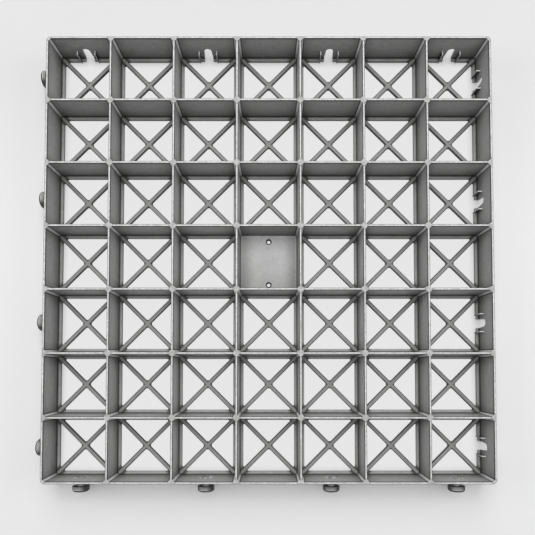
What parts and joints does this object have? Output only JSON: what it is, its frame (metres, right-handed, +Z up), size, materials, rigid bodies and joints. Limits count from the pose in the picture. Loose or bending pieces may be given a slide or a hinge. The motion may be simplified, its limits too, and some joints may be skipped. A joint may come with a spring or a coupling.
{
  "type": "grass paver grid",
  "caption": "Square moulded plastic grid of open cells with cross-braced floors, linked to its neighbours by studs and slots, for reinforcing grass or gravel ground.",
  "frame": {"origin": "middle of the grid on its underside", "axes": "+Z up out of the open cells, studs on the -X and -Y sides, slots on the +X and +Y sides"},
  "size_m": [0.5125, 0.5125, 0.04],
  "materials": {
    "paver_plastic": "satin grey recycled polypropylene"
  },
  "bodies": {
    "root": {"paver_grid": "paver_plastic"}
  },
  "joints": []
}
